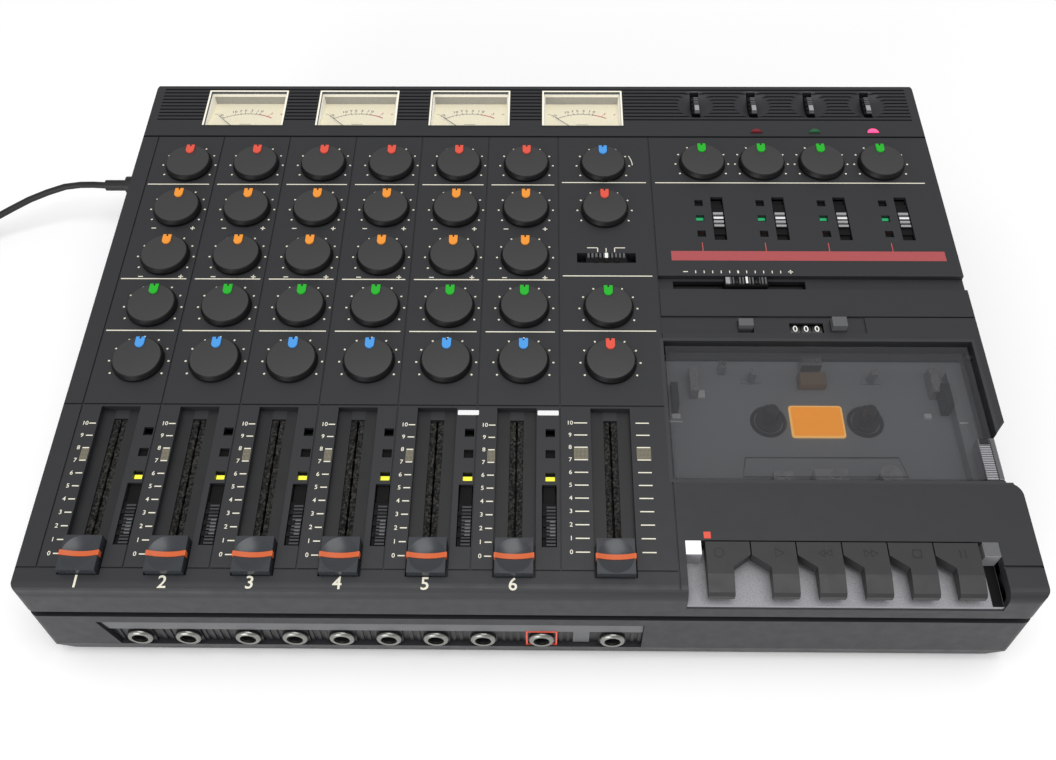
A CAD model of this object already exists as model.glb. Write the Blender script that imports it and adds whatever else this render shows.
"""Looks of the four track cassette recorder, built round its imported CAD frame.

Places on the sloping deck are in millimetres: x from the middle, y from the front edge
along the slope, z square to the deck. deck() turns them into the row frame in metres.
"""

import math

import bpy
from mathutils import Euler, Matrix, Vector


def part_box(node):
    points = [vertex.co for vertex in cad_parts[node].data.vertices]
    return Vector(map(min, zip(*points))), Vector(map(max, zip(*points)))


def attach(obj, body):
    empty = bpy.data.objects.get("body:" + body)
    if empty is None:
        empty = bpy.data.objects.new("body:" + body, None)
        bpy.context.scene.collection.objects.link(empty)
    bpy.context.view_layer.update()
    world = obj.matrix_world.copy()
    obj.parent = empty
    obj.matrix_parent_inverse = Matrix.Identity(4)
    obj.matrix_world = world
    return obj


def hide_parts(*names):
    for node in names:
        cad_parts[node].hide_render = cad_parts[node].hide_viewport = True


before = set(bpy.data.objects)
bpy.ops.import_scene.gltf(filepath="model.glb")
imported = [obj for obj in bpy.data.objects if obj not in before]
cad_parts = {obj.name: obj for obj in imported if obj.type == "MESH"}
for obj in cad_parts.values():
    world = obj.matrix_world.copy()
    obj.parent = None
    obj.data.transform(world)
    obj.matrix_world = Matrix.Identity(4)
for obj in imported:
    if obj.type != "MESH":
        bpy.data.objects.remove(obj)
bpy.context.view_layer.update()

# -------------------- the CAD's driving sizes
MM = 0.001
SLOPE = math.radians(4.5)
CASE_W = 401.0
CASE_D = 288.6
FRONT_H = 57.0
TAPE_W = 141.6
STRIP_INSET = 27.6
MASTER_INSET = 23.5
MASTER_EXTRA = 4.3
ROW_LEAD = 0.79
ROW_TAIL = 0.69
BRIDGE_L = 39.5
CHANNEL_END = 85.0
STRIPS = 6
CUE_INSET = 26.2
CUE_PITCH = 29.8
CUE_FRONT = 19.3

HALF_W = CASE_W / 2
HALF_D = CASE_D / 2
SIDE_X = HALF_W - TAPE_W
DECK_L = CASE_D / math.cos(SLOPE)
BRIDGE_Y = DECK_L - BRIDGE_L
STRIP_X = -HALF_W + STRIP_INSET
MASTER_X = SIDE_X - MASTER_INSET
STRIP_PITCH = (MASTER_X - STRIP_X - MASTER_EXTRA) / STRIPS
ROW_PITCH = (BRIDGE_Y - CHANNEL_END) / (4 + ROW_LEAD + ROW_TAIL)
ROW_Y = CHANNEL_END + ROW_LEAD * ROW_PITCH
CUE_X = SIDE_X + CUE_INSET
CUE_Y = BRIDGE_Y - CUE_FRONT

case_low, case_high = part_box("lower_case")
DATUM = Vector(((case_low.x + case_high.x) / 2, (case_low.y + case_high.y) / 2, 0))


def upright(x, y, z):
    """A place in the upright frame, millimetres from the table under the case's middle."""
    return DATUM + Vector((x, y, z)) * MM


def deck(x, y, z=0.0):
    """A place on the sloping deck."""
    c, s = math.cos(SLOPE), math.sin(SLOPE)
    return upright(x, -HALF_D + y * c - z * s, FRONT_H + y * s + z * c)


def strip_at(i):
    return STRIP_X + i * STRIP_PITCH


def row_at(j):
    return ROW_Y + j * ROW_PITCH


def cue_at(i):
    return CUE_X + i * CUE_PITCH


# -------------------- materials
def srgb(code):
    """A colour written as rrggbb, as linear light."""
    parts = [int(code[i:i + 2], 16) / 255 for i in (0, 2, 4)]
    return [c / 12.92 if c < 0.04045 else ((c + 0.055) / 1.055) ** 2.4 for c in parts] + [1]


def finish(name, colour, rough=0.5, metal=0.0, alpha=1.0, grain=0.0, grain_size=0.5, fleck=0.0,
           tone=0.0, glow=0.0, specular=0.5):
    """A surface with grain in its height; fleck and tone are how far its gloss and colour vary."""
    material = bpy.data.materials.new(name)
    material.use_nodes = True
    nodes, links = material.node_tree.nodes, material.node_tree.links
    shader = nodes["Principled BSDF"]
    shader.inputs["Base Color"].default_value = srgb(colour)
    shader.inputs["Roughness"].default_value = rough
    shader.inputs["Metallic"].default_value = metal
    shader.inputs["Alpha"].default_value = alpha
    shader.inputs["Specular IOR Level"].default_value = specular
    if glow:
        shader.inputs["Emission Color"].default_value = srgb(colour)
        shader.inputs["Emission Strength"].default_value = glow
    if grain:
        bump = nodes.new("ShaderNodeBump")
        bump.inputs["Strength"].default_value = grain
        bump.inputs["Distance"].default_value = 0.1 * MM
        links.new(noise(nodes, links, grain_size, 2), bump.inputs["Height"])
        links.new(bump.outputs["Normal"], shader.inputs["Normal"])
    if fleck:
        gloss = nodes.new("ShaderNodeMapRange")
        gloss.inputs["From Min"].default_value = 0.3
        gloss.inputs["From Max"].default_value = 0.7
        gloss.inputs["To Min"].default_value = max(rough - fleck, 0.02)
        gloss.inputs["To Max"].default_value = min(rough + fleck, 1)
        links.new(noise(nodes, links, 14 * grain_size, 5), gloss.inputs["Value"])
        links.new(gloss.outputs["Result"], shader.inputs["Roughness"])
    if tone:
        shades = nodes.new("ShaderNodeValToRGB")
        base = srgb(colour)
        for spot, position, scale in zip(shades.color_ramp.elements, (0.3, 0.7),
                                         (1 - tone, 1 + tone)):
            spot.position = position
            spot.color = [min(c * scale, 1) for c in base[:3]] + [1]
        links.new(noise(nodes, links, grain_size, 6), shades.inputs["Fac"])
        links.new(shades.outputs["Color"], shader.inputs["Base Color"])
    return material


def noise(nodes, links, size, detail):
    """A noise whose patches are about that many millimetres across."""
    place = nodes.new("ShaderNodeTexCoord")
    patches = nodes.new("ShaderNodeTexNoise")
    patches.inputs["Scale"].default_value = 1 / (size * MM)
    patches.inputs["Detail"].default_value = detail
    links.new(place.outputs["Object"], patches.inputs["Vector"])
    return patches.outputs["Fac"]


def felt(name, colour, dust):
    """Black felt with pale dust caught in it."""
    material = finish(name, colour, rough=0.95, grain=1.0, grain_size=0.25, specular=0.2)
    nodes, links = material.node_tree.nodes, material.node_tree.links
    lint = noise(nodes, links, 1.1, 6)
    lint.node.inputs["Roughness"].default_value = 0.75
    ramp = nodes.new("ShaderNodeValToRGB")
    for spot, position, shade in zip(ramp.color_ramp.elements, (0.45, 0.72), (colour, dust)):
        spot.position = position
        spot.color = srgb(shade)
    links.new(lint, ramp.inputs["Fac"])
    links.new(ramp.outputs["Color"], nodes["Principled BSDF"].inputs["Base Color"])
    return material


CASE = finish("case_plastic", "222326", rough=0.5, grain=0.14, grain_size=0.45, fleck=0.05, tone=0.08)
DARK = finish("dark_plastic", "141517", rough=0.42, grain=0.08, fleck=0.05, tone=0.1)
PIT = finish("pit_plastic", "0b0b0c", rough=0.7, grain=0.1, tone=0.2, specular=0.2)
KNOB = finish("knob_side", "060607", rough=0.45, grain=0.05, tone=0.2, specular=0.3)
KNOB_TOP = finish("knob_top", "323233", rough=0.55, grain=0.06, grain_size=0.3, fleck=0.04, tone=0.05)
FADER = finish("fader_plastic", "303338", rough=0.3, grain=0.04, fleck=0.05, tone=0.06)
KEY = finish("key_plastic", "262626", rough=0.5, grain=0.2, grain_size=0.4, fleck=0.05, tone=0.08)
GREY = finish("grey_plastic", "98989c", rough=0.6, grain=0.5, grain_size=0.6, fleck=0.05, tone=0.16)
PALE = finish("pale_plastic", "ececec", rough=0.5, grain=0.05, tone=0.02)
SHELF = finish("shelf_plastic", "5f6062", rough=0.5, grain=0.1, tone=0.06)
BROWN = finish("brown_cover", "8a6f52", rough=0.55, tone=0.08)
WHITE_BLOCK = finish("white_block", "ffffff", rough=0.5, glow=0.25, tone=0.02)
DIM_GREY = finish("dim_grey_plastic", "343537", rough=0.5, grain=0.1, tone=0.08)
MID_GREY = finish("mid_grey_plastic", "58595b", rough=0.5, grain=0.1, tone=0.06)
SILVER = finish("silver_plastic", "9b9b9d", rough=0.45, grain=0.1, tone=0.06)
WELL = finish("well_plastic", "2c2d30", rough=0.5, grain=0.1, fleck=0.06, tone=0.05)
FLOOR = finish("bay_floor", "9a9ca0", rough=0.5, grain=0.1, fleck=0.06, tone=0.05)
SMOKE = finish("smoked_lid", "46474a", rough=0.12, alpha=0.36, grain=0.02, grain_size=6, fleck=0.03)
CLEAR = finish("clear_window", "e8ecf0", rough=0.05, alpha=0.08, fleck=0.02)
CARD = finish("dial_card", "efe6c8", rough=0.7, glow=0.1, tone=0.02, grain_size=2)
CARD_SHADE = finish("dial_shade", "8f8b7c", rough=0.7, tone=0.05, grain_size=2)
CARD_EDGE = finish("dial_edge", "f7f2e2", rough=0.5, glow=0.1, tone=0.02, grain_size=2)
INK = finish("cream_ink", "e9e4d2", rough=0.6, tone=0.06)
WHITE = finish("white_ink", "f2f1ec", rough=0.6, tone=0.04)
HATCH = finish("hatch_ink", "857f6c", rough=0.6, tone=0.1)
BLACK_INK = finish("black_ink", "26221c", rough=0.6, tone=0.1)
RED_INK = finish("red_ink", "c0504c", rough=0.55, tone=0.06)
BAR = finish("red_bar", "a94a4d", rough=0.5, grain=0.08, tone=0.04, grain_size=1)
RED = finish("pointer_red", "e0503c", rough=0.45, tone=0.04)
ORANGE = finish("pointer_orange", "f0952b", rough=0.45, tone=0.04)
GREEN = finish("pointer_green", "10b01c", rough=0.45, tone=0.04)
BLUE = finish("pointer_blue", "4599e4", rough=0.45, tone=0.04)
FADER_LINE = finish("fader_line", "d0602f", rough=0.42, grain=0.05, tone=0.06)
LABEL = finish("orange_label", "ff9c00", rough=0.55, glow=1.15, grain=0.06, tone=0.03, grain_size=2)
LABEL_EDGE = finish("orange_label_edge", "ffc46a", rough=0.55, glow=1.0, tone=0.03)
YELLOW = finish("yellow_flag", "f4ef3c", rough=0.5, glow=0.5, tone=0.04)
GREEN_FLAG = finish("green_flag", "2bb070", rough=0.5, glow=0.15, tone=0.05)
METAL = finish("steel", "b9b9bb", rough=0.28, metal=1.0, fleck=0.06)
CHROME = finish("chrome", "8d8d89", rough=0.32, metal=1.0, fleck=0.06)
TRACK = finish("track_steel", "1b1b1d", rough=0.6, grain=0.1, tone=0.1)
BOARD = finish("board", "2c5a34", rough=0.5, grain=0.1, tone=0.1)
RUBBER = finish("foot_rubber", "141414", rough=0.8, grain=0.2, tone=0.1)
LEAD = finish("lead_black", "0d0d0e", rough=0.5, grain=0.1, tone=0.1)
FELT = felt("slot_felt", "101010", "54534e")
LAMP_LIT = finish("lamp_lit", "ff4a80", rough=0.2, glow=1.0, tone=0.05)
LAMP_RED = finish("lamp_red", "6e1a24", rough=0.2, tone=0.1)
LAMP_GREEN = finish("lamp_green", "1f5a38", rough=0.2, tone=0.1)
LAMP_DARK = finish("lamp_dark", "241216", rough=0.15, tone=0.1)


# -------------------- forms
class Form:
    """Gathers the solids of one piece, in millimetres, and makes it one object."""

    def __init__(self):
        self.verts = []
        self.faces = []

    def add(self, verts, faces):
        first = len(self.verts)
        self.verts += verts
        self.faces += [tuple(first + i for i in face) for face in faces]
        return self

    def prism(self, outline, low, high, inset=0.0, rise=0.0):
        """An outline between two heights, its top edge drawn in by inset over rise."""
        n = len(outline)
        cx = sum(p[0] for p in outline) / n
        cy = sum(p[1] for p in outline) / n
        rings = [(outline, low)]
        if inset:
            rings.append((outline, high - rise))
            drawn = []
            for x, y in outline:
                d = math.hypot(x - cx, y - cy) or 1
                drawn.append((x - (x - cx) / d * inset, y - (y - cy) / d * inset))
            rings.append((drawn, high))
        else:
            rings.append((outline, high))
        verts = [(x, y, z) for ring, z in rings for x, y in ring]
        faces = [tuple(reversed(range(n))), tuple(range((len(rings) - 1) * n, len(rings) * n))]
        for k in range(len(rings) - 1):
            for i in range(n):
                j = (i + 1) % n
                faces.append((k * n + i, k * n + j, k * n + n + j, k * n + n + i))
        return self.add(verts, faces)

    def box(self, low, high, inset=0.0, rise=0.0):
        return self.prism(rectangle(low[0], low[1], high[0], high[1]), low[2], high[2], inset, rise)

    def stroke(self, points, width, low, high):
        """A flat line of one width through the points."""
        left, right = [], []
        for k, (x, y) in enumerate(points):
            ax, ay = points[max(k - 1, 0)]
            bx, by = points[min(k + 1, len(points) - 1)]
            d = math.hypot(bx - ax, by - ay) or 1
            nx, ny = -(by - ay) / d * width / 2, (bx - ax) / d * width / 2
            left.append((x + nx, y + ny))
            right.append((x - nx, y - ny))
        for k in range(len(points) - 1):
            self.prism([right[k], right[k + 1], left[k + 1], left[k]], low, high)
        return self

    def lathe(self, profile, x, y, steps=48, axis="z"):
        """A profile of (radius, height) turned about an axis through (x, y)."""
        n = len(profile)
        verts = []
        for i in range(steps):
            a = 2 * math.pi * i / steps
            for r, h in profile:
                if axis == "z":
                    verts.append((x + r * math.cos(a), y + r * math.sin(a), h))
                else:
                    verts.append((x + r * math.cos(a), h, y + r * math.sin(a)))
        faces = []
        for i in range(steps):
            j = (i + 1) % steps
            for k in range(n - 1):
                faces.append((i * n + k, j * n + k, j * n + k + 1, i * n + k + 1))
        return self.add(verts, faces)

    def text(self, words, size, x, y, low, high, turn=0.0):
        """Plain numbers or signs, centred on (x, y)."""
        verts, faces = glyphs(words)
        c, s = math.cos(turn) * size, math.sin(turn) * size
        spots = [(x + vx * c - vy * s, y + vx * s + vy * c) for vx, vy in verts]
        return self.add([(px, py, (low + high) / 2) for px, py in spots], faces)

    def make(self, name, material, body, place=deck, slot=None, smooth=False):
        mesh = bpy.data.meshes.new(name)
        mesh.from_pydata([place(*v) for v in self.verts], [], self.faces)
        mesh.validate()
        mesh.materials.append(material)
        if smooth:
            mesh.shade_smooth()
            mesh.set_sharp_from_angle(angle=math.radians(38))
        piece = bpy.data.objects.new(name, mesh)
        bpy.context.scene.collection.objects.link(piece)
        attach(piece, body)
        return piece


def glyphs(words, made={}):
    """Outline of words at size 1 as flat faces, kept for the next time."""
    if words not in made:
        curve = bpy.data.curves.new("glyph", "FONT")
        curve.body = words
        curve.align_x, curve.align_y = "CENTER", "CENTER"
        curve.offset = 0.012
        curve.resolution_u = 3
        holder = bpy.data.objects.new("glyph", curve)
        bpy.context.scene.collection.objects.link(holder)
        shape = holder.to_mesh()
        made[words] = ([(v.co.x, v.co.y) for v in shape.vertices],
                       [tuple(p.vertices) for p in shape.polygons])
        holder.to_mesh_clear()
        bpy.data.objects.remove(holder)
        bpy.data.curves.remove(curve)
    return made[words]


def rectangle(x0, y0, x1, y1):
    return [(x0, y0), (x1, y0), (x1, y1), (x0, y1)]


def round_rectangle(x0, y0, x1, y1, r, steps=5):
    outline = []
    for cx, cy, start in ((x1 - r, y0 + r, 270), (x1 - r, y1 - r, 0),
                          (x0 + r, y1 - r, 90), (x0 + r, y0 + r, 180)):
        for k in range(steps + 1):
            a = math.radians(start + 90 * k / steps)
            outline.append((cx + r * math.cos(a), cy + r * math.sin(a)))
    return outline


def arc(x, y, r, start, end, steps):
    """Points of an arc, in degrees anticlockwise from +x."""
    spots = [math.radians(start + (end - start) * k / steps) for k in range(steps + 1)]
    return [(x + r * math.cos(a), y + r * math.sin(a)) for a in spots]


# -------------------- camera and floor
CAMERA_AT = (5.12, -337.2, 432.61)
CAMERA_TURN = (38.461, 0.403, 0.648)
LENS = 36.8


def place_camera():
    data = bpy.data.cameras.new("camera")
    data.sensor_width = 36
    data.lens = LENS
    data.clip_start = 0.01
    camera = bpy.data.objects.new("camera", data)
    camera.location = upright(*CAMERA_AT)
    camera.rotation_euler = Euler([math.radians(a) for a in CAMERA_TURN])
    bpy.context.scene.collection.objects.link(camera)
    bpy.context.scene.camera = camera


place_camera()

# -------------------- power lead
LEAD_D = 3.7
LEAD_EXIT = (-240.5, 124.5, 26)
COIL_C = (-362, 62)
COIL_R = 28.0
COIL_TURNS = 3
COIL_LAYERS = 4
COIL_PITCH = 5.0
COIL_LAYER = 4.4
COIL_RINGS = 24
GLAND_X = -388.0
COIL_START = (COIL_C[0] + LEAD_D, COIL_C[1] + COIL_R, LEAD_D / 2)
LEAD_PATH = [
    LEAD_EXIT, (-248, 125, 26), (-256, 126, 25), (-265, 125.5, 24), (-275, 123, 22),
    (-285, 119, 20), (-295, 114.5, 17), (-305, 109.5, 14), (-315, 104, 10.5),
    (-325, 98.5, 7), (-335, 94, 4), (-345, 91, 2.4), (-352, 90, LEAD_D / 2), COIL_START,
]


def coil_at(t):
    """The middle of the coiled lead at turn t: out and in by turns, a layer above each time."""
    run = COIL_TURNS - 0.5
    inner = COIL_R - run * COIL_PITCH
    layer = min(int(t // COIL_TURNS), COIL_LAYERS - 1)
    u = t - layer * COIL_TURNS
    last = layer == COIL_LAYERS - 1
    part = (u if last else min(u, run)) / run
    r = inner + (COIL_R - inner) * part if layer % 2 else COIL_R + (inner - COIL_R) * part
    climb = 0 if last else max(0, u - run) * 2
    a = math.radians(90 + 360 * t)
    return (COIL_C[0] + r * math.cos(a), COIL_C[1] + r * math.sin(a),
            LEAD_D / 2 + (layer + climb) * COIL_LAYER)


def power_lead():
    steps = COIL_LAYERS * COIL_TURNS * COIL_RINGS
    turns = [coil_at(k / COIL_RINGS) for k in range(steps + 1)]
    end_y = turns[-1][1]
    top = turns[-1][2]
    route = LEAD_PATH + turns + [(COIL_C[0] - LEAD_D, end_y, top), (GLAND_X, end_y, top)]
    curve = bpy.data.curves.new("power_lead_run", "CURVE")
    curve.dimensions = "3D"
    curve.bevel_depth = LEAD_D / 2 * MM
    curve.bevel_resolution = 3
    curve.use_fill_caps = True
    line = curve.splines.new("POLY")
    line.points.add(len(route) - 1)
    for point, spot in zip(line.points, route):
        point.co = (*upright(*spot), 1)
    curve.materials.append(LEAD)
    lead = bpy.data.objects.new("power_lead_run", curve)
    bpy.context.scene.collection.objects.link(lead)
    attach(lead, "case")
    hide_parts("power_lead", "lead_coil")
    length = sum(math.dist(a, b) for a, b in zip(route, route[1:])) * MM


power_lead()
# -------------------- CAD nodes' materials
SLIDERS = ["input_switches", "record_switches", "mode_switches", "monitor_switch"]
NODE_FINISH = {
    CASE: ["upper_case", "lower_case"],
    DARK: ["meter_frames", "jack_sockets", "dc_socket", "counter_wheels", "supply_spindle",
           "take_up_spindle"],
    PIT: SLIDERS + ["pitch_slider"],
    MID_GREY: ["zero_return_switch", "reset_button"],
    WELL: ["cassette_well"],
    KNOB: ["channel_knobs_2_to_6", "trim_knob_1", "eq_high_knob_1", "eq_low_knob_1",
           "effect_knob_1", "pan_knob_1", "sync_out_knob", "phones_knob",
           "effect_master_knob", "effect_return_knob"]
          + [f"tape_cue_knob_{i}" for i in range(1, 5)],
    FADER: [f"fader_{i}" for i in range(1, 7)] + ["fader_master"],
    KEY: [f"{k}_key" for k in ("record", "play", "rewind", "fast_forward", "stop", "pause")],
    GREY: ["key_tray", "lid_grip"],
    METAL: ["tape_guides", "tape_heads", "transport_chassis", "pot_bodies"],
    TRACK: ["slider_tracks"],
    RUBBER: ["rubber_feet"],
    CARD: ["meter_dials"],
    CLEAR: ["meter_windows"],
    SMOKE: ["cassette_lid"],
    LAMP_DARK: ["indicator_lamps"],
    BOARD: ["mixer_board"],
    LEAD: ["dc_plug", "wall_adapter", "power_lead", "lead_coil"],
}


def paint_nodes():
    for material, names in NODE_FINISH.items():
        for name in names:
            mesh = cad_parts[name].data
            mesh.materials.clear()
            mesh.materials.append(material)


paint_nodes()

# -------------------- printing on the deck
INK_LOW = 0.02
INK_TOP = 0.06


RING_R = 13.2
DOT = 0.85
RING_TURNS = [side * turn for turn in (30, 60, 90, 120) for side in (-1, 1)]


def knob_scale(ink, x, y, middle=False):
    """Dots round a knob, with one at its middle place if asked."""
    for turn in RING_TURNS + [0] * middle:
        a = math.radians(90 - turn)
        c, s = math.cos(a), math.sin(a)
        low, high = RING_R - DOT / 2, RING_R + DOT / 2
        ink.stroke([(x + low * c, y + low * s), (x + high * c, y + high * s)], DOT * 0.9,
                   INK_LOW, INK_TOP)


SIGN = 1.1


def minus(ink, x, y, width=0.5):
    ink.stroke([(x - SIGN, y), (x + SIGN, y)], width, INK_LOW, INK_TOP)


def plus(ink, x, y, width=0.5):
    minus(ink, x, y, width)
    ink.stroke([(x, y - SIGN), (x, y + SIGN)], width, INK_LOW, INK_TOP)


SIGN_DX = 9.4
SIGN_DY = -12.2
STRIP_LINES = [-193.2, -158.6, -124, -89.9, -56.4, -22.1, 13]
LINE_Y = [125.5, 155.5, 216.0]
MASTER_LINE_Y = [126.2, 158.0, 217.7]
MASTER_LINE_X = [14.8, 56.4]
CUE_LINE_X = [61.0, 194.0]
LINE_W = 0.55


def mixer_prints():
    ink = Form()
    for i in range(STRIPS):
        for j in range(5):
            knob_scale(ink, strip_at(i), row_at(j), middle=j in (0, 2, 3))
        for j in (2, 3):
            minus(ink, strip_at(i) - SIGN_DX, row_at(j) + SIGN_DY)
            plus(ink, strip_at(i) + SIGN_DX, row_at(j) + SIGN_DY)
    for j in (0, 1, 3, 4):
        knob_scale(ink, MASTER_X, row_at(j))
    for x0, x1 in zip(STRIP_LINES, STRIP_LINES[1:]):
        for y in LINE_Y:
            ink.stroke([(x0 + 2, y), (x1 - 2, y)], LINE_W, INK_LOW, INK_TOP)
    for y in MASTER_LINE_Y:
        ink.stroke([(x, y) for x in MASTER_LINE_X], LINE_W, INK_LOW, INK_TOP)
    for i in range(4):
        knob_scale(ink, cue_at(i), CUE_Y)
    ink.stroke([(x, MASTER_LINE_Y[2]) for x in CUE_LINE_X], LINE_W, INK_LOW, INK_TOP)
    ink.stroke(arc(MASTER_X, row_at(4), 14.8, 2, 28, 6), 0.4, INK_LOW, INK_TOP)
    ink.make("deck_knob_prints", INK, "case")


INPUT_DX = 11.4
FADER_DX = -2.4
MASTER_FADER_DX = -1.0
FADER_Y = 15.0
SCALE_STEP = 6.03
SCALE_Y = 16.1
MASTER_STEP = 5.96
MASTER_SCALE_Y = 18.1
CHANNEL_W = 16.8
PLATE_Y = 82.6
PLATE_STRIPS = (4, 5)
TICK = 0.5


def fader_at(i):
    return strip_at(i) + FADER_DX if i < STRIPS else MASTER_X + MASTER_FADER_DX


def fader_scale(ink, hatch, x, side, gap, length, numbers, first=SCALE_Y, step=SCALE_STEP):
    """Ticks from 0 to 10 beside a fader, with the hatched normal range."""
    inner = x + side * (CHANNEL_W / 2 + gap)
    outer = inner + side * length
    for n in range(11):
        y = first + step * n
        ink.stroke([(inner, y), (outer, y)], TICK, INK_LOW, INK_TOP)
        if numbers:
            ink.text(str(n), 2.7, outer + side * 1.7, y, INK_LOW, INK_TOP)
    low, high = first + 7 * step + TICK, first + 8 * step - TICK
    left, right = min(inner, outer), max(inner, outer)
    columns = round(length / 0.55)
    for k in range(columns + 1):
        hx = left + (right - left) * k / columns
        hatch.stroke([(hx, low), (hx, high)], 0.24, INK_LOW, INK_TOP)
    for k in range(9):
        hy = low + (high - low) * k / 8
        hatch.stroke([(left, hy), (right, hy)], 0.24, INK_LOW + 0.01, INK_TOP + 0.01)


def fader_prints():
    ink, hatch = Form(), Form()
    for i in range(STRIPS):
        fader_scale(ink, hatch, fader_at(i), -1, 0.6, 2.8, True)
        ink.text(str(i + 1), 7.4, strip_at(i) - 2.7, 4.2, INK_LOW, INK_TOP)
    for side, gap in ((-1, 1.5), (1, 2.2)):
        fader_scale(ink, hatch, fader_at(STRIPS), side, gap, 5.6, side < 0, MASTER_SCALE_Y,
                    MASTER_STEP)
    ink.make("deck_fader_prints", INK, "case")
    hatch.make("deck_fader_hatching", HATCH, "case")
    plates = Form()
    for i in PLATE_STRIPS:
        x = strip_at(i) + INPUT_DX - 0.6
        outline = round_rectangle(x - 4.4, PLATE_Y - 1.2, x + 4.6, PLATE_Y + 1.2, 0.4)
        plates.prism(outline, INK_LOW, INK_TOP)
    plates.make("deck_bare_plates", PALE, "case")


RECORD_BAR = [66.0, 167.6, 194.6, 173.4]
RECORD_LINE_Y = [173.4, 178.7]
PITCH_TICKS = 11
PITCH_TICK_X = [76.7, 116.2]
PITCH_TICK_Y = [159.9, 161.5]
PITCH_SIGNS = [72.0, 120.8]


def tape_side_prints():
    bar = Form()
    bar.prism(rectangle(*RECORD_BAR), INK_LOW, INK_TOP)
    bar.make("record_bar", BAR, "case")
    thin = Form()
    for i in range(4):
        x = cue_at(i) - 3.9
        thin.stroke([(x, y) for y in RECORD_LINE_Y], 0.4, INK_LOW, INK_TOP)
    thin.make("record_lines", RED_INK, "case")
    ink = Form()
    start, end = PITCH_TICK_X
    for k in range(PITCH_TICKS):
        x = start + (end - start) * k / (PITCH_TICKS - 1)
        width = 0.8 if k == PITCH_TICKS // 2 else 0.42
        ink.stroke([(x, y) for y in PITCH_TICK_Y], width, INK_LOW, INK_TOP)
    minus(ink, PITCH_SIGNS[0], 160.8)
    plus(ink, PITCH_SIGNS[1], 160.8)
    for dx in (-4, 0, 4):
        x = MASTER_X + dx
        ink.stroke([(x, 172.6), (x, 175.0)], 0.45, INK_LOW, INK_TOP)
        if dx:
            end = x + math.copysign(5, dx)
            ink.stroke([(x, 175.2), (end, 175.2)], 0.45, INK_LOW, INK_TOP)
    ink.make("deck_tape_prints", INK, "case")
    square = Form()
    square.prism(rectangle(69.6, 24.4, 72.4, 27.3), INK_LOW, INK_TOP)
    square.make("record_square", RED, "case")


mixer_prints()
fader_prints()
tape_side_prints()

# -------------------- knobs
KNOB_H = 3.4
KNOB_TOP_R = 10.4
POINTER_W = 4.0
POINTER_TOP = 0.75
POINTER_Y = [4.8, 10.3]
NOTCH = [0.4, 1.1]


def pointer_outline(x, y):
    """A tab, round towards the knob's middle, with a notch at its rear."""
    half = POINTER_W / 2
    front, rear = y + POINTER_Y[0] + half, y + POINTER_Y[1]
    notch, depth = NOTCH
    return arc(x, front, half, 180, 360, 12) + [
        (x + half, rear), (x + notch, rear), (x + notch, rear - depth),
        (x - notch, rear - depth), (x - notch, rear), (x - half, rear)]


def knob_pieces(name, body, places):
    """The grey caps and the coloured pointers of the knobs on one body."""
    caps = Form()
    pointers = {}
    for x, y, colour in places:
        caps.lathe([(0, KNOB_H + 0.12), (KNOB_TOP_R - 0.5, KNOB_H + 0.12),
                    (KNOB_TOP_R, KNOB_H + 0.02), (KNOB_TOP_R, KNOB_H - 0.4)], x, y, 64)
        tab = pointers.setdefault(colour.name, (colour, Form()))[1]
        outline = pointer_outline(x, y)
        n = len(outline)
        verts = [(px, py, z) for z in (KNOB_H - 0.5, KNOB_H + POINTER_TOP) for px, py in outline]
        sides = [(i, (i + 1) % n, n + (i + 1) % n, n + i) for i in range(n)]
        tab.add(verts, sides + [tuple(range(n, 2 * n))])
    caps.make(f"{name}_cap", KNOB_TOP, body, slot="knob_plastic", smooth=True)
    for colour, tab in pointers.values():
        tab.make(f"{name}_{colour.name}", colour, body)


ROW_COLOURS = [BLUE, GREEN, ORANGE, ORANGE, RED]
ROW_BODIES = ["pan_knob_1", "effect_knob_1", "eq_low_knob_1", "eq_high_knob_1", "trim_knob_1"]


def all_knobs():
    fixed = [(strip_at(i), row_at(j), ROW_COLOURS[j]) for i in range(1, STRIPS) for j in range(5)]
    knob_pieces("channel_knobs", "case", fixed)
    for j, body in enumerate(ROW_BODIES):
        knob_pieces(body, body, [(strip_at(0), row_at(j), ROW_COLOURS[j])])
    masters = {"sync_out_knob": (4, BLUE), "phones_knob": (3, RED),
               "effect_master_knob": (1, GREEN), "effect_return_knob": (0, RED)}
    for body, (j, colour) in masters.items():
        knob_pieces(body, body, [(MASTER_X, row_at(j), colour)])
    for i in range(4):
        body = f"tape_cue_knob_{i + 1}"
        knob_pieces(body, body, [(cue_at(i), CUE_Y, GREEN)])


all_knobs()

# -------------------- faders
CAP_W = 15.0
CAP_H = 3.6
CAP_DISH = 1.6
DISH_R = 7.2
BAND_L = 2.0
BAND_OUT = 0.3
BAND_DROP = 2.2
CHANNEL_Y = 7.2
CHANNEL_DEPTH = 3.0
SLOT_HALF = 2.95
FELT_GAP = 0.5
FLOOR_PLATE = 0.04


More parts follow.
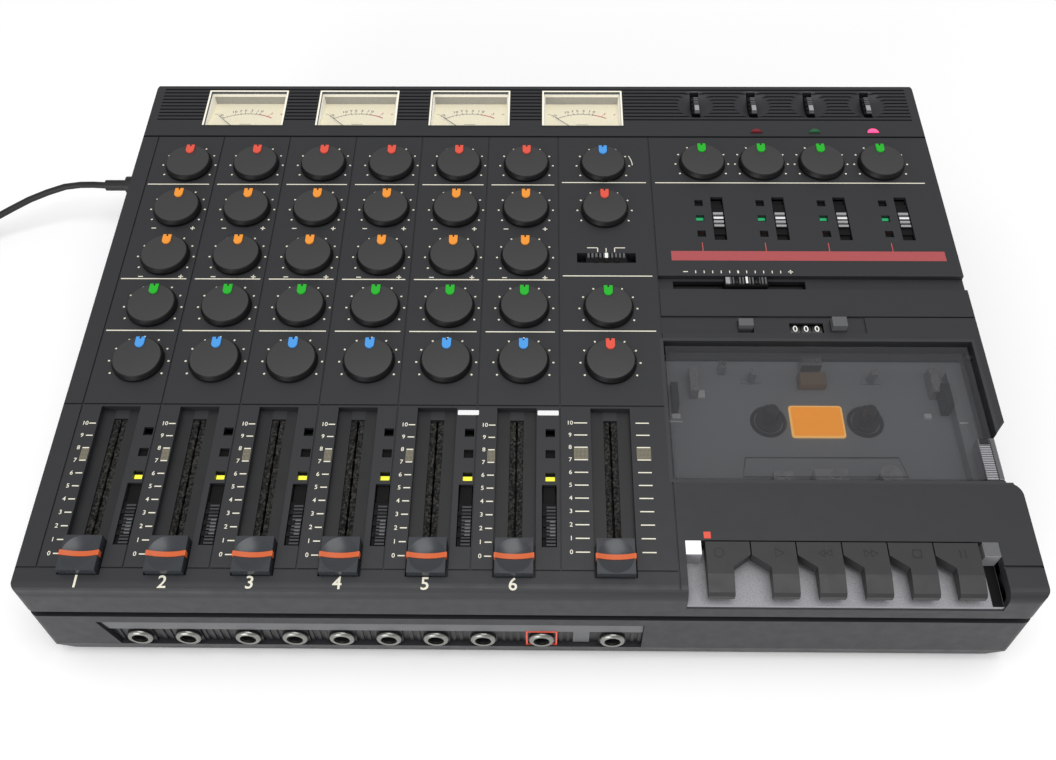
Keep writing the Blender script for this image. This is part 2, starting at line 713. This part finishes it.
def fader_band(i):
    """The coloured band across a fader's dish, over the band of its cap."""
    body = f"fader_{i + 1}" if i < STRIPS else "fader_master"
    x = fader_at(i)
    ball = (DISH_R ** 2 + CAP_DISH ** 2) / (2 * CAP_DISH)
    middle = CAP_H - CAP_DISH + ball
    low_z = CAP_H - BAND_DROP
    reach = CAP_W / 2 + BAND_OUT + 0.06
    half = BAND_L / 2 + 0.06
    steps = 32
    outline = [(x - reach, low_z)]
    for k in range(steps + 1):
        dx = -reach + 2 * reach * k / steps
        dish = middle - math.sqrt(ball ** 2 - min(abs(dx), DISH_R) ** 2)
        outline.append((x + dx, min(dish, CAP_H) + BAND_OUT + 0.08))
    outline.append((x + reach, low_z))
    n = len(outline)
    band = Form()
    verts = [(px, FADER_Y + side * half, pz) for side in (-1, 1) for px, pz in outline]
    faces = [(k, k + 1, n + k + 1, n + k) for k in range(n - 1)]
    low = [(px, FADER_Y + side * half, low_z) for side in (-1, 1) for px, pz in outline]
    for side in (0, n):
        for k in range(n - 1):
            a, b = side + k, side + k + 1
            faces.append((a, b, 2 * n + b, 2 * n + a))
    band.add(verts + low, faces)
    band.make(f"{body}_line", FADER_LINE, body)


def channel_floors():
    """The dark floor strips beside each fader's slot."""
    floors = Form()
    for i in range(STRIPS + 1):
        x = fader_at(i)
        for side in (-1, 1):
            x0, x1 = sorted((x + side * SLOT_HALF, x + side * (CHANNEL_W / 2 - 0.05)))
            floors.box((x0, CHANNEL_Y + 0.05, -CHANNEL_DEPTH),
                       (x1, CHANNEL_END - 0.05, -CHANNEL_DEPTH + FLOOR_PLATE))
    floors.make("fader_channel_floors", DARK, "case")


def slot_felts():
    felt_strips = Form()
    for i in range(STRIPS + 1):
        x = fader_at(i)
        for side in (-1, 1):
            inner = x + side * FELT_GAP
            outer = x + side * (SLOT_HALF - 0.1)
            steps = 60
            edge = []
            for k in range(steps + 1):
                y = CHANNEL_Y + 2.1 + (CHANNEL_END - 4.6 - CHANNEL_Y - 2.1) * k / steps
                wave = 0.28 * math.sin(k * 1.9 + i) * math.sin(k * 0.83 + 2 * i)
                edge.append((inner - side * wave, y))
            outline = edge + [(outer, edge[-1][1]), (outer, edge[0][1])]
            felt_strips.prism(outline if side < 0 else outline[::-1], -4.9, -3.9)
    felt_strips.make("fader_slot_felt", FELT, "case")


for fader_index in range(STRIPS + 1):
    fader_band(fader_index)
slot_felts()
channel_floors()

# -------------------- switches' flags and marks
INPUT_Y = 34.0
RECORD_DX = 5.2
RECORD_Y = 194.3
RECORD_FLAG_DX = -8.9
MONITOR_Y = row_at(2)
MODE_Y = DECK_L - 15.2
FLAG_TOP = -1.95
FLAG_T = 0.12
INPUT_FLAG_YS = (51.5, 58.5, 65.8)
SWITCH_HALF = 2.6
SWITCH_TOP = -0.2
PITCH_X = 99.6
PITCH_Y = 154.6
PITCH_HALF_L = 9.8
PITCH_HALF_W = 1.8
PITCH_RIB_TOP = 1.6


def flag(form, x, y, width, length):
    form.box((x - width / 2, y - length / 2, FLAG_TOP),
             (x + width / 2, y + length / 2, FLAG_TOP + FLAG_T))


def switch_flags():
    yellow = Form()
    for i in range(STRIPS):
        for y in INPUT_FLAG_YS:
            flag(yellow, strip_at(i) + INPUT_DX + 0.4, y, 3.9, 2)
    yellow.make("input_flags", YELLOW, "input_switches")
    green, red = Form(), Form()
    for i in range(4):
        x = cue_at(i) + RECORD_DX + RECORD_FLAG_DX
        flag(green, x, RECORD_Y + 1, 3.8, 1.8)
        flag(red, x, RECORD_Y + 7, 3.8, 1.6)
        flag(red, x, RECORD_Y - 6.9, 3.8, 1.6)
    green.make("record_safe_flags", GREEN_FLAG, "record_switches")
    red.make("record_armed_flags", RED, "record_switches")


def ribs(form, x0, x1, y0, y1, pitch, low, top, share=0.55):
    """Bevelled ribs across x0..x1, stepping along y."""
    count = round((y1 - y0) / pitch)
    for k in range(count):
        y = y0 + k * pitch
        form.box((x0, y, low), (x1, y + share * pitch, top), inset=0.08, rise=0.1)


def input_grips():
    """The ribbed grips of the six input switches, lighter in their middle."""
    grips, bright = Form(), Form()
    for i in range(STRIPS):
        x = strip_at(i) + INPUT_DX
        ribs(grips, x - 1.2, x + SWITCH_HALF, INPUT_Y - 13.2, INPUT_Y + 5.4, 1.5, -1.1, SWITCH_TOP)
        ribs(bright, x + 0.2, x + SWITCH_HALF - 0.2, INPUT_Y - 9, INPUT_Y - 1.5, 1.5,
             SWITCH_TOP - 0.3, SWITCH_TOP + 0.1, share=0.4)
    grips.make("input_grips", DIM_GREY, "input_switches")
    bright.make("input_grip_lights", SHELF, "input_switches")


def record_grips():
    caps, crest = Form(), Form()
    for i in range(4):
        x = cue_at(i) + RECORD_DX
        ribs(caps, x - SWITCH_HALF + 0.2, x + SWITCH_HALF - 0.2, RECORD_Y - 5.2, RECORD_Y + 5.4, 2.6,
             -1.1, SWITCH_TOP + 0.1, share=0.5)
        crest.box((x - SWITCH_HALF + 0.3, RECORD_Y - 0.3, SWITCH_TOP), (
            x + SWITCH_HALF - 0.3, RECORD_Y + 0.7, SWITCH_TOP + 0.25), inset=0.1, rise=0.1)
    caps.make("record_grips", SILVER, "record_switches")
    crest.make("record_grip_crests", PALE, "record_switches")


def mode_grips():
    """The grips of the four top switches, with a light block on each."""
    top_grips, blocks = Form(), Form()
    for i in range(4):
        x = cue_at(i)
        ribs(top_grips, x - 0.7, x + 1.9, MODE_Y - 6.1, MODE_Y + 6.1, 1.35, -0.9, 0.05)
        blocks.box((x - 0.5, MODE_Y - 4.4, -0.6), (x + 1.8, MODE_Y - 0.8, 0.3), inset=0.15,
                   rise=0.15)
    top_grips.make("mode_grips", MID_GREY, "mode_switches")
    blocks.make("mode_marks", SILVER, "mode_switches")


def monitor_grip():
    wide = Form()
    for k in range(10):
        x = MASTER_X - 8.9 + 1.85 * k
        wide.box((x, MONITOR_Y + 0.1, -0.6), (x + 1, MONITOR_Y + SWITCH_HALF, 0.5), inset=0.08,
                 rise=0.1)
    wide.make("monitor_grip", MID_GREY, "monitor_switch")


def pitch_grip():
    """Ribs along the pitch slider, with a light end."""
    pitch = Form()
    for k in range(13):
        x = PITCH_X - PITCH_HALF_L + 0.4 + 1.48 * k
        pitch.box((x, PITCH_Y - PITCH_HALF_W, 0.7), (
            x + 0.75, PITCH_Y + PITCH_HALF_W, PITCH_RIB_TOP), inset=0.08, rise=0.1)
    pitch.make("pitch_grip", MID_GREY, "pitch_slider")
    end = Form()
    left = PITCH_X - PITCH_HALF_L
    end.box((left + 0.1, PITCH_Y - PITCH_HALF_W, 0.7), (
        left + 2, PITCH_Y + PITCH_HALF_W, PITCH_RIB_TOP + 0.05), inset=0.12, rise=0.12)
    end.make("pitch_grip_end", SILVER, "pitch_slider")


def switch_marks():
    marks = Form()
    marks.box((MASTER_X - 0.75, MONITOR_Y - 0.3, 0.3), (MASTER_X + 0.75, MONITOR_Y + 2.7, 0.7),
              inset=0.1, rise=0.1)
    marks.make("monitor_mark", WHITE, "monitor_switch")
    pitch = Form()
    pitch.box((PITCH_X - 0.5, PITCH_Y - 1.9, 1.2), (PITCH_X + 0.5, PITCH_Y + 1.9, 1.8),
              inset=0.1, rise=0.1)
    pitch.make("pitch_mark", WHITE, "pitch_slider")


switch_flags()
input_grips()
record_grips()
mode_grips()
monitor_grip()
pitch_grip()
switch_marks()

# -------------------- lamps
LAMP_Y = BRIDGE_Y + 3
LAMP_R = 2.9
LAMP_LOW, LAMP_TOP = 0.1, 0.9
BAR_LAMP = [102.1, 169.3, 107.5, 171.7]
BAR_LAMP_LOW, BAR_LAMP_TOP = -0.5, -0.42


def lamps():
    """Three half round lamps on the bridge's edge and the window in the red bar."""
    for i, material in ((1, LAMP_RED), (2, LAMP_GREEN), (3, LAMP_LIT)):
        lens = Form()
        outline = arc(cue_at(i), LAMP_Y, LAMP_R, 0, 180, 14)
        lens.prism(outline, LAMP_LOW, LAMP_TOP, inset=0.6, rise=0.5)
        lens.make(f"lamp_lens_{i}", material, "case", slot="lamp_red", smooth=True)
    window = Form()
    window.prism(rectangle(*BAR_LAMP), BAR_LAMP_LOW, BAR_LAMP_TOP)
    window.make("record_lamp_lens", LAMP_RED, "case")


lamps()

# -------------------- meters
METER_X = -150.9
METER_PITCH = 58.9
METER_W = 43.0
METER_L = 28.2
METER_Y = DECK_L - 18.5
DIAL_FRONT = 2.6
DIAL_REAR = 8.4
BEZEL = 1.4


def on_dial(index):
    """Places on a dial card: x from its middle, y up it from its front edge."""
    length = METER_L - 2 * BEZEL
    rise = -(DIAL_REAR - DIAL_FRONT) / length

    def place(x, y, z=0.0):
        along = y - length / 2
        depth = -DIAL_FRONT + rise * y
        return deck(METER_X + METER_PITCH * index + x, METER_Y + along, depth + z)
    return place


SCALE_MARKS = [(-24, "20"), (-12.5, "10"), (-7.5, "7"), (-3.5, "5"), (1.5, "3"), (6.5, "1"),
               (10, "0"), (19, "3")]
PIVOT_Y = -6.0
DIAL_R = 21.0
DIAL_TURN = 1.55
RED_FROM = 10
DIAL_LOW, DIAL_TOP = 0.02, 0.05
DIAL_SIGN_X = 17.2
DIAL_SIGN_Y = 14.6
DIAL_SIGN = 0.8
REST_MARK = -26


def dial_spot(mark, r):
    """Where a mark of the scale lies on its card at radius r from the needle's pivot."""
    a = math.radians(90 - DIAL_TURN * mark)
    return (r * math.cos(a), PIVOT_Y + r * math.sin(a))


def dial_scale(black, red):
    """The scale's line, ticks, numbers and end signs."""
    black.stroke([dial_spot(d, DIAL_R) for d in range(-24, RED_FROM + 1)], 0.35, DIAL_LOW,
                 DIAL_TOP)
    red.stroke([dial_spot(d, DIAL_R) for d in range(RED_FROM, 25)], 0.8, DIAL_LOW, DIAL_TOP)
    for mark, number in SCALE_MARKS:
        form = red if mark > RED_FROM else black
        form.stroke([dial_spot(mark, DIAL_R), dial_spot(mark, DIAL_R + 1.5)], 0.3, DIAL_LOW,
                    DIAL_TOP)
        x, y = dial_spot(mark, DIAL_R + 3.2)
        form.text(number, 2.9, x, y, DIAL_LOW, DIAL_TOP, turn=-math.radians(1.2 * mark))
    for k in range(11):
        mark = -24 + 3.4 * k
        black.stroke([dial_spot(mark, DIAL_R - 0.9), dial_spot(mark, DIAL_R)], 0.2, DIAL_LOW,
                     DIAL_TOP)
    black.stroke([(-3, 4.4), (3, 4.4)], 0.35, DIAL_LOW, DIAL_TOP)
    for form, x in ((black, -DIAL_SIGN_X), (red, DIAL_SIGN_X)):
        form.stroke([(x - DIAL_SIGN, DIAL_SIGN_Y), (x + DIAL_SIGN, DIAL_SIGN_Y)], 0.3, DIAL_LOW,
                    DIAL_TOP)
    red.stroke([(DIAL_SIGN_X, DIAL_SIGN_Y - DIAL_SIGN), (DIAL_SIGN_X, DIAL_SIGN_Y + DIAL_SIGN)],
               0.3, DIAL_LOW, DIAL_TOP)


def meter(index):
    """The scale, needle and hub on one meter's card."""
    place = on_dial(index)
    black, red = Form(), Form()
    dial_scale(black, red)
    black.make(f"meter_scale_{index + 1}", BLACK_INK, "case", place=place)
    red.make(f"meter_red_zone_{index + 1}", RED_INK, "case", place=place)
    needle = Form()
    needle.stroke([dial_spot(REST_MARK, 7.2), dial_spot(REST_MARK, DIAL_R + 1)], 0.3, 0.8, 1.0)
    needle.make(f"meter_needle_{index + 1}", BLACK_INK, "case", place=place)
    hub = Form()
    hub.prism(rectangle(-6.5, 0.05, 6.5, 1.6), 0.1, 1.4)
    hub.make(f"meter_hub_{index + 1}", DARK, "case", place=place)


FRAME_IN_X = METER_W / 2 - BEZEL - 0.03
FRAME_IN_Y = METER_L / 2 - BEZEL - 0.03
WINDOW_LOW = -1.65
EDGE_H = 1.6
EDGE_W = 0.8
EDGE_T = 0.3
SHADE_T = 0.12
BEZEL_TRIM = 0.9
TRIM_LOW, TRIM_TOP = 0.01, 0.06


def meter_walls(index):
    """The pale inside walls of a meter's frame, shaded towards the dial."""
    cx = METER_X + METER_PITCH * index
    rear = METER_Y + FRAME_IN_Y
    edge_z = WINDOW_LOW - EDGE_H
    shade, edge = Form(), Form()
    shade.box((cx - FRAME_IN_X, rear - SHADE_T, -DIAL_REAR + 0.1), (cx + FRAME_IN_X, rear, edge_z))
    edge.box((cx - FRAME_IN_X, rear - EDGE_T, edge_z), (cx + FRAME_IN_X, rear, WINDOW_LOW))
    front_y, rear_y = METER_Y - FRAME_IN_Y, rear - EDGE_T
    low_front, low_rear = -DIAL_FRONT + 0.05, -DIAL_REAR + 0.05
    wall = [(front_y, low_front), (rear_y, low_rear), (rear_y, WINDOW_LOW), (front_y, WINDOW_LOW)]
    for side in (-1, 1):
        x0, x1 = sorted((cx + side * FRAME_IN_X, cx + side * (FRAME_IN_X - EDGE_W)))
        faces = [(0, 1, 2, 3), (7, 6, 5, 4)]
        faces += [(k, 4 + k, 4 + (k + 1) % 4, (k + 1) % 4) for k in range(4)]
        edge.add([(x, y, z) for x in (x0, x1) for y, z in wall], faces)
    for side in (-1, 1):
        x0, x1 = sorted((cx + side * FRAME_IN_X, cx + side * (FRAME_IN_X + BEZEL_TRIM)))
        edge.box((x0, METER_Y - FRAME_IN_Y, TRIM_LOW), (x1, rear + BEZEL_TRIM, TRIM_TOP))
    edge.box((cx - FRAME_IN_X, rear, TRIM_LOW), (cx + FRAME_IN_X, rear + BEZEL_TRIM, TRIM_TOP))
    shade.make(f"meter_shade_{index + 1}", CARD_SHADE, "case")
    edge.make(f"meter_edge_{index + 1}", CARD_EDGE, "case")


for meter_index in range(4):
    meter(meter_index)
    meter_walls(meter_index)

# -------------------- front sockets
PANEL_X0 = -HALF_W + 25.5
PANEL_X1 = SIDE_X - 11.9
PANEL_Z0 = 11.3
PANEL_Z1 = 31.0
PANEL_SLANT = 5.0
SHELF_Z = 23.2
JACK_STEPS = [20.0, 24.8]
JACK_END_STEPS = [24.1, 29.2]
FIRST_JACK = PANEL_X0 + 14.4
LAST_JACK = PANEL_X1 - 12.2
JACK_PITCH = (LAST_JACK - FIRST_JACK - sum(JACK_STEPS) - sum(JACK_END_STEPS)) / 5
JACK_XS = ([FIRST_JACK, FIRST_JACK + JACK_STEPS[0]]
           + [FIRST_JACK + sum(JACK_STEPS) + i * JACK_PITCH for i in range(6)]
           + [LAST_JACK - JACK_END_STEPS[1], LAST_JACK])
JACK_H = 17.2
JACK_R = 3.2
JACK_HALF = 5.7
PANEL_FACE = -2.2
SHELF_FACE = -1.0
SMOOTH_X = [18.6, 25.4]
PANEL_RIBS = 74


def front(x, z, out):
    """A place on the front: across, up from the table, and out from the case's front."""
    return upright(x, -HALF_D - out, z)


def jack_rings():
    rings = Form()
    for x in JACK_XS:
        rings.lathe([(JACK_R + 0.15, -3), (JACK_R + 0.15, 0.9), (4.1, 1.1), (4.9, 0.75),
                     (5.3, 0.1), (5.3, -1)], x, JACK_H, 40)
    rings.make("jack_rings", CHROME, "case", place=lambda x, z, out: front(x, z, out - 0.2),
               slot="steel", smooth=True)


def jack_shelf():
    shelf = Form()
    shelf.prism([(PANEL_X0 + 3.3, SHELF_Z + 0.15), (PANEL_X1 - 0.3, SHELF_Z + 0.15),
                 (PANEL_X1 - 0.3, PANEL_Z1 - 0.8), (PANEL_X0 + 1.2, PANEL_Z1 - 0.8)],
                SHELF_FACE, SHELF_FACE + 0.08)
    shelf.make("jack_shelf", SHELF, "case", place=front)


def panel_ribs():
    """Upright ribs on the socket panel, left out at the sockets and the smooth patch."""
    low, high = PANEL_Z0 + 0.7, SHELF_Z - 0.2
    start = PANEL_X0 + PANEL_SLANT + 1
    run = PANEL_X1 - PANEL_X0 - PANEL_SLANT - 2
    raised = Form()
    for k in range(PANEL_RIBS):
        x = start + run * k / (PANEL_RIBS - 1)
        clear = min(abs(x - jx) for jx in JACK_XS) > JACK_HALF + 0.8
        if clear and not SMOOTH_X[0] - 0.8 < x < SMOOTH_X[1] + 0.8:
            raised.box((x - 0.7, low, PANEL_FACE), (x + 0.7, high, PANEL_FACE + 0.5), inset=0.15,
                       rise=0.2)
    raised.make("jack_panel_ribs", DARK, "case", place=front)
    patch = Form()
    patch.box((SMOOTH_X[0], low, PANEL_FACE), (SMOOTH_X[1], high, PANEL_FACE + 0.4), inset=0.2,
              rise=0.2)
    patch.make("jack_panel_patch", SHELF, "case", place=front)


def phones_edge():
    """The red square round the phones socket."""
    edge = Form()
    half = 0.35
    near, far = JACK_HALF + 0.05, JACK_HALF + 0.75
    for dx, dz, sx, sz in ((0, -1, far, half), (0, 1, far, half), (-1, 0, half, near),
                           (1, 0, half, near)):
        cx, cz = JACK_XS[8] + dx * (near + half), JACK_H + dz * (near + half)
        edge.box((cx - sx, cz - sz, PANEL_FACE), (cx + sx, cz + sz, -0.7), inset=0.05, rise=0.1)
    edge.make("phones_jack_edge", RED, "case", place=front)


jack_rings()
jack_shelf()
panel_ribs()
phones_edge()

# -------------------- cassette bay
BAY_FLOOR = -16.0
BAY_X = [SIDE_X + 0.3, HALF_W - 4.5]
BAY_Y = [50.9, 121.0]
TAPE_X = SIDE_X + 67.5
HUB_Y = 88.7
HUB_PITCH = 42.5
PLATE = [114.6, 80.3, 138.2, 96.8]
GRIP_X = [187.4, 191.9, 194.4]
GRIP_Y = [51.6, 71.0]
LID_Z = -0.4
PAD_H = 0.5
PAD_OUTLINE = [(89.6, 60.9), (152.9, 61.3), (155.2, 52.2), (87.7, 51.9)]


def bay_floor():
    """A sheet that gives the well's floor its lighter colour."""
    floor = Form()
    floor.box((BAY_X[0] + 0.1, BAY_Y[0] + 0.1, BAY_FLOOR),
              (BAY_X[1] - 0.1, BAY_Y[1] - 0.1, BAY_FLOOR + FLOOR_PLATE))
    floor.make("bay_floor_sheet", FLOOR, "case")


def bay_plate():
    edge = Form()
    edge.prism(round_rectangle(*PLATE, 1.4), BAY_FLOOR + 0.02, BAY_FLOOR + 0.7, inset=0.2, rise=0.2)
    edge.make("bay_label_edge", LABEL_EDGE, "case")
    x0, y0, x1, y1 = PLATE
    plate = Form()
    plate.prism(round_rectangle(x0 + 0.8, y0 + 0.8, x1 - 0.8, y1 - 0.8, 1), BAY_FLOOR + 0.5,
                BAY_FLOOR + 0.85, inset=0.1, rise=0.1)
    plate.make("bay_label_plate", LABEL, "case")


def bay_hubs():
    dishes, bright = Form(), Form()
    for side in (-1, 1):
        x = TAPE_X + side * HUB_PITCH / 2
        dishes.lathe([(6.4, BAY_FLOOR + 0.05), (6.6, BAY_FLOOR + 0.9), (7.3, BAY_FLOOR + 1.1),
                      (7.9, BAY_FLOOR + 0.6), (8.1, BAY_FLOOR + 0.05)], x, HUB_Y, 48)
        for turn in (20, 140, 260):
            a = math.radians(turn)
            bx, by = x + 1.9 * math.cos(a), HUB_Y + 1.9 * math.sin(a)
            bright.prism(arc(bx, by, 0.55, 0, 330, 10), BAY_FLOOR + 7.8, BAY_FLOOR + 8.7,
                         inset=0.2, rise=0.3)
    dishes.make("bay_hub_rings", DARK, "case", smooth=True)
    bright.make("bay_hub_lights", PALE, "case", smooth=True)


# Each block of the bay: left, front, right, rear, height over the floor, inset and rise of its edge
BRACKETS = [(62.2, 92, 65.4, 104, 9, 0.4, 0.5), (181.4, 92, 184.8, 104, 9, 0.4, 0.5)]
LEDGES = [(60.4, 56, 62, 112, 5.5, 0.3, 0.4), (186, 56, 189.6, 112, 5.5, 0.3, 0.4)]
SLOTS = [(TAPE_X + dx - 4.4, 108.6, TAPE_X + dx + 4.4, 111, 0.7, 0.3, 0.3) for dx in (-27, 27)]
HEAD_COVER = [(TAPE_X - 6, 105.5, TAPE_X + 6, 112, 5, 0.5, 0.6)]
WHITE_BITS = [(74.3, 100.6, 78.2, 104.6, 1.2, 0.3, 0.3), (62.4, 88.6, 66.4, 91.4, 2.4, 0.4, 0.5),
              (173.4, 89.4, 176.6, 92, 2.4, 0.4, 0.5)]
SPRINGS_X = [(60.5, 66.4), (186.4, 190)]
SPRING_Y = [84.6, 85.2]
SPRING_Z = [5.4, 6.0]


def bay_blocks(form, blocks):
    for x0, y0, x1, y1, height, inset, rise in blocks:
        form.box((x0, y0, BAY_FLOOR + 0.1), (x1, y1, BAY_FLOOR + height), inset=inset, rise=rise)


def bay_fittings():
    """Side brackets, ledges, springs, slots, the tab feeler and the heads' cover below the lid."""
    dark, pale, white, brown = Form(), Form(), Form(), Form()
    bay_blocks(dark, BRACKETS)
    bay_blocks(pale, LEDGES + SLOTS)
    bay_blocks(brown, HEAD_COVER)
    bay_blocks(white, WHITE_BITS)
    for x0, x1 in SPRINGS_X:
        white.box((x0, SPRING_Y[0], BAY_FLOOR + SPRING_Z[0]), (
            x1, SPRING_Y[1], BAY_FLOOR + SPRING_Z[1]), inset=0.1, rise=0.1)
    dark.make("bay_brackets", DARK, "case")
    pale.make("bay_ledges", FLOOR, "case")
    white.make("bay_white_bits", PALE, "case")
    brown.make("bay_head_cover", BROWN, "case")


def lid_details():
    """The groove and edge strip beside the finger grip, and the pad's outline."""
    y0, y1 = GRIP_Y
    groove = Form()
    groove.box((GRIP_X[1] + 0.05, y0 + 0.1, LID_Z - 0.1), (GRIP_X[1] + 0.55, y1 - 0.1, LID_Z + 0.05))
    groove.make("grip_groove", PIT, "lid")
    fade = Form()
    fade.box((GRIP_X[0] + 0.1, y1 - 3.2, LID_Z), (GRIP_X[1], y1 - 0.1, 0.34), inset=0.2, rise=0.2)
    fade.make("grip_rear", DARK, "lid")
    strip = Form()
    strip.box((GRIP_X[1] + 0.6, y0 + 0.1, -0.5), (GRIP_X[2] - 0.1, y1 - 0.1, 0.08), inset=0.1,
              rise=0.1)
    strip.make("grip_edge", MID_GREY, "lid")
    line = Form()
    line.stroke(PAD_OUTLINE + PAD_OUTLINE[:1], 0.4, PAD_H + 0.02, PAD_H + 0.06)
    line.make("lid_pad_edge", DARK, "lid")


bay_floor()
bay_plate()
bay_hubs()
bay_fittings()
lid_details()

# -------------------- keys
KEY_X = SIDE_X + 11.0
KEY_END = 8.0
TRAY_X = [SIDE_X + 3.2, HALF_W - 15.2]
KEY_PITCH = (TRAY_X[1] - KEY_END - KEY_X) / 6
KEY_TOP = 0.4
SIGN_AT = (10.8, 18.2)
KEYS = ["record", "play", "rewind", "fast_forward", "stop", "pause"]


def triangle(x, y, size):
    return [(x, y + abs(size) * 0.6), (x + size, y), (x, y - abs(size) * 0.6),
            (x, y + abs(size) * 0.6)]


def key_symbol(i):
    """Thin raised signs near the rear of the keys."""
    x = KEY_X + i * KEY_PITCH + SIGN_AT[0]
    y = SIGN_AT[1]
    lines = {
        "record": [arc(x - 5.8, y, 1.9, 0, 360, 20)],
        "play": [triangle(x - 1.5, y, 3.2)],
        "rewind": [triangle(x - 0.2, y, -2.4), triangle(x + 2.6, y, -2.4)],
        "fast_forward": [triangle(x - 2.6, y, 2.4), triangle(x + 0.2, y, 2.4)],
        "stop": [[(x - 1.6, y - 1.6), (x + 1.6, y - 1.6), (x + 1.6, y + 1.6),
                  (x - 1.6, y + 1.6), (x - 1.6, y - 1.6)]],
        "pause": [[(x - 1, y - 1.7), (x - 1, y + 1.7)], [(x + 1, y - 1.7), (x + 1, y + 1.7)]],
    }[KEYS[i]]
    sign = Form()
    for points in lines:
        sign.stroke(points, 0.35, KEY_TOP, KEY_TOP + 0.12)
    sign.make(f"{KEYS[i]}_key_sign", DARK, f"{KEYS[i]}_key")


BLOCK_W = 6.3
BLOCK_L = 6.0
TRAY_BACK = 23.6
TRAY_FLOOR = -9.0
END_LOW, END_TOP = -0.35, -0.1


def tray_ends():
    """The tray's end blocks, and the dark floor right of the last key."""
    left, right, dark = Form(), Form(), Form()
    low, top = END_LOW, END_TOP
    y0, y1 = TRAY_BACK - BLOCK_L + 0.1, TRAY_BACK - 0.1
    left.box((TRAY_X[0] + 0.05, y0, low), (TRAY_X[0] + BLOCK_W - 0.1, y1, top), inset=0.15,
             rise=0.15)
    right.box((TRAY_X[1] - BLOCK_W + 0.1, y0, low), (TRAY_X[1] - 0.05, y1, top), inset=0.15,
              rise=0.15)
    dark.box((TRAY_X[1] - 4.4, 0.2, TRAY_FLOOR), (
        TRAY_X[1] - 0.1, TRAY_BACK - BLOCK_L - 0.1, TRAY_FLOOR + 0.06))
    left.make("tray_end_left", WHITE_BLOCK, "case")
    right.make("tray_end_right", SHELF, "case")
    dark.make("tray_dark_floor", PIT, "case")


for key_index in range(6):
    key_symbol(key_index)
tray_ends()


# -------------------- counter
COUNTER_AT = (SIDE_X + 65.2, 128.8)
WHEEL_PITCH = 4.9
WHEEL_TOP = -1.6


def counter_digits():
    digits = Form()
    x, y = COUNTER_AT
    for k in (-1, 0, 1):
        digits.text("0", 4.6, x + k * WHEEL_PITCH, y, WHEEL_TOP + 0.08, WHEEL_TOP + 0.1)
    digits.make("counter_digits", WHITE, "counter_wheels")


counter_digits()


# -------------------- light and floor
FLOOR_REACH = 6
LAMPS = {"lamp_above": ((0.15, -0.35, 1.7), 1.3, 16), "lamp_front": ((-0.8, -1.7, 0.45), 1.0, 14)}


def white_world():
    """Plain white to the camera, softer as light on the object."""
    world = bpy.data.worlds.new("studio")
    bpy.context.scene.world = world
    world.use_nodes = True
    nodes, links = world.node_tree.nodes, world.node_tree.links
    background = nodes["Background"]
    background.inputs["Color"].default_value = (1, 1, 1, 1)
    rays = nodes.new("ShaderNodeLightPath")
    straight = nodes.new("ShaderNodeMath")
    straight.operation = "MAXIMUM"
    level = nodes.new("ShaderNodeMapRange")
    level.inputs["To Min"].default_value = 0.55
    level.inputs["To Max"].default_value = 1.0
    links.new(rays.outputs["Is Camera Ray"], straight.inputs[0])
    links.new(rays.outputs["Is Transmission Ray"], straight.inputs[1])
    links.new(straight.outputs[0], level.inputs["Value"])
    links.new(level.outputs["Result"], background.inputs["Strength"])


def white_floor():
    mesh = bpy.data.meshes.new("floor")
    r = FLOOR_REACH
    mesh.from_pydata([(-r, -r, 0), (r, -r, 0), (r, r, 0), (-r, r, 0)], [], [(0, 1, 2, 3)])
    mesh.materials.append(finish("floor_white", "fafafa", rough=0.9, specular=0.1, tone=0.01,
                                 glow=0.1))
    floor = bpy.data.objects.new("floor", mesh)
    bpy.context.scene.collection.objects.link(floor)


def studio_lamps():
    for name, (spot, size, power) in LAMPS.items():
        data = bpy.data.lights.new(name, "AREA")
        data.size = size
        data.energy = power
        lamp = bpy.data.objects.new(name, data)
        lamp.location = DATUM + Vector(spot)
        lamp.rotation_mode = "QUATERNION"
        lamp.rotation_quaternion = (DATUM - lamp.location).to_track_quat("-Z", "Y")
        bpy.context.scene.collection.objects.link(lamp)


bpy.context.scene.view_settings.view_transform = "Standard"
white_world()
white_floor()
studio_lamps()
